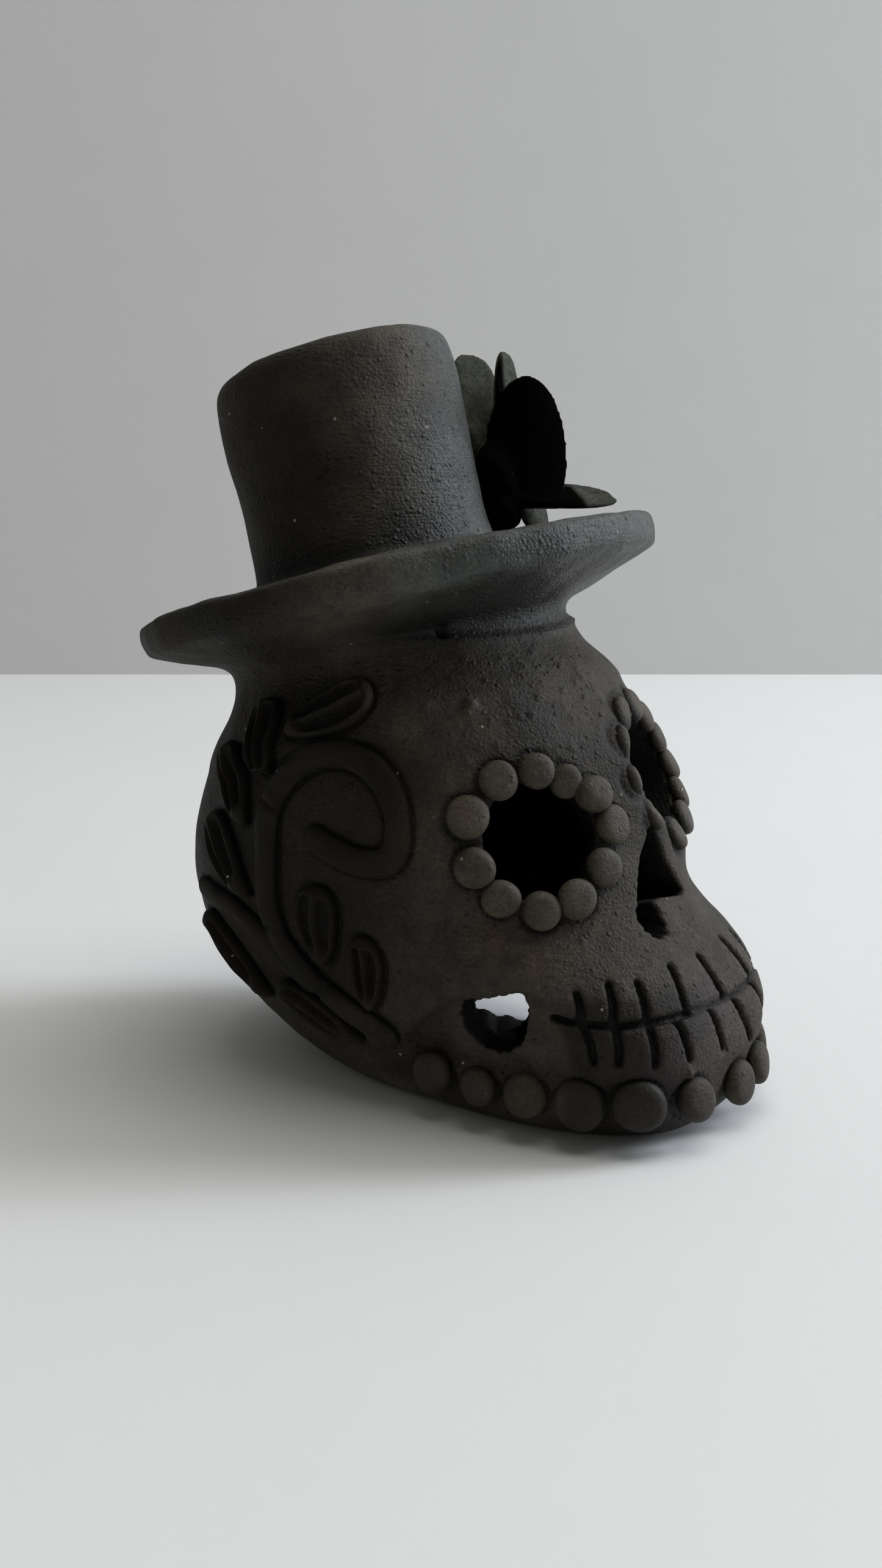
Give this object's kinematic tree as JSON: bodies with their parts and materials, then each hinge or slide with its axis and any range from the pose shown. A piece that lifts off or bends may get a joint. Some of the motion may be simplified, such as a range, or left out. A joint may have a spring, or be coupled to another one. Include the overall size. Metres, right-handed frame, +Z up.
{
  "type": "catrina skull figure",
  "caption": "Skull in a tall brimmed hat, hand-built in smoke-darkened clay, with beaded eyes and jaw, vines, leaves and a flower; hollow and open below.",
  "frame": {"origin": "on the floor, under the middle of the outline seen from above", "axes": "+Z up, the face looks along -Y, the skull's own right side is towards -X"},
  "size_m": [0.0932, 0.1183, 0.1299],
  "materials": {
    "smoked_clay": "unglazed low-fired clay, smoke-darkened and brushed, coarse sand grains at the surface",
    "pellet_clay": "unglazed low-fired clay, rolled and pressed smooth, slightly lighter from handling",
    "sprig_clay": "unglazed low-fired clay, laid on as coils and leaves and scored with a tool"
  },
  "bodies": {
    "root": {"skull_with_hat": "smoked_clay", "eye_pellet_right_01": "pellet_clay", "eye_pellet_right_02": "pellet_clay", "eye_pellet_right_03": "pellet_clay", "eye_pellet_right_04": "pellet_clay", "eye_pellet_right_05": "pellet_clay", "eye_pellet_right_06": "pellet_clay", "eye_pellet_right_07": "pellet_clay", "eye_pellet_right_08": "pellet_clay", "eye_pellet_right_09": "pellet_clay", "eye_pellet_right_10": "pellet_clay", "eye_pellet_right_11": "pellet_clay", "eye_pellet_left_01": "pellet_clay", "eye_pellet_left_02": "pellet_clay", "eye_pellet_left_03": "pellet_clay", "eye_pellet_left_04": "pellet_clay", "eye_pellet_left_05": "pellet_clay", "eye_pellet_left_06": "pellet_clay", "eye_pellet_left_07": "pellet_clay", "eye_pellet_left_08": "pellet_clay", "eye_pellet_left_09": "pellet_clay", "eye_pellet_left_10": "pellet_clay", "eye_pellet_left_11": "pellet_clay", "jaw_pellet_01": "pellet_clay", "jaw_pellet_02": "pellet_clay", "jaw_pellet_03": "pellet_clay", "jaw_pellet_04": "pellet_clay", "jaw_pellet_05": "pellet_clay", "jaw_pellet_06": "pellet_clay", "jaw_pellet_07": "pellet_clay", "jaw_pellet_08": "pellet_clay", "jaw_pellet_09": "pellet_clay", "jaw_pellet_10": "pellet_clay", "jaw_pellet_11": "pellet_clay", "jaw_pellet_12": "pellet_clay", "jaw_pellet_13": "pellet_clay", "vine_right": "sprig_clay", "leaf_right_01": "sprig_clay", "leaf_right_02": "sprig_clay", "leaf_right_03": "sprig_clay", "leaf_right_04": "sprig_clay", "leaf_right_05": "sprig_clay", "leaf_right_06": "sprig_clay", "leaf_right_07": "sprig_clay", "leaf_right_08": "sprig_clay", "vine_left": "sprig_clay", "leaf_left_01": "sprig_clay", "leaf_left_02": "sprig_clay", "leaf_left_03": "sprig_clay", "leaf_left_04": "sprig_clay", "leaf_left_05": "sprig_clay", "leaf_left_06": "sprig_clay", "leaf_left_07": "sprig_clay", "leaf_left_08": "sprig_clay", "flower": "pellet_clay"}
  },
  "joints": []
}
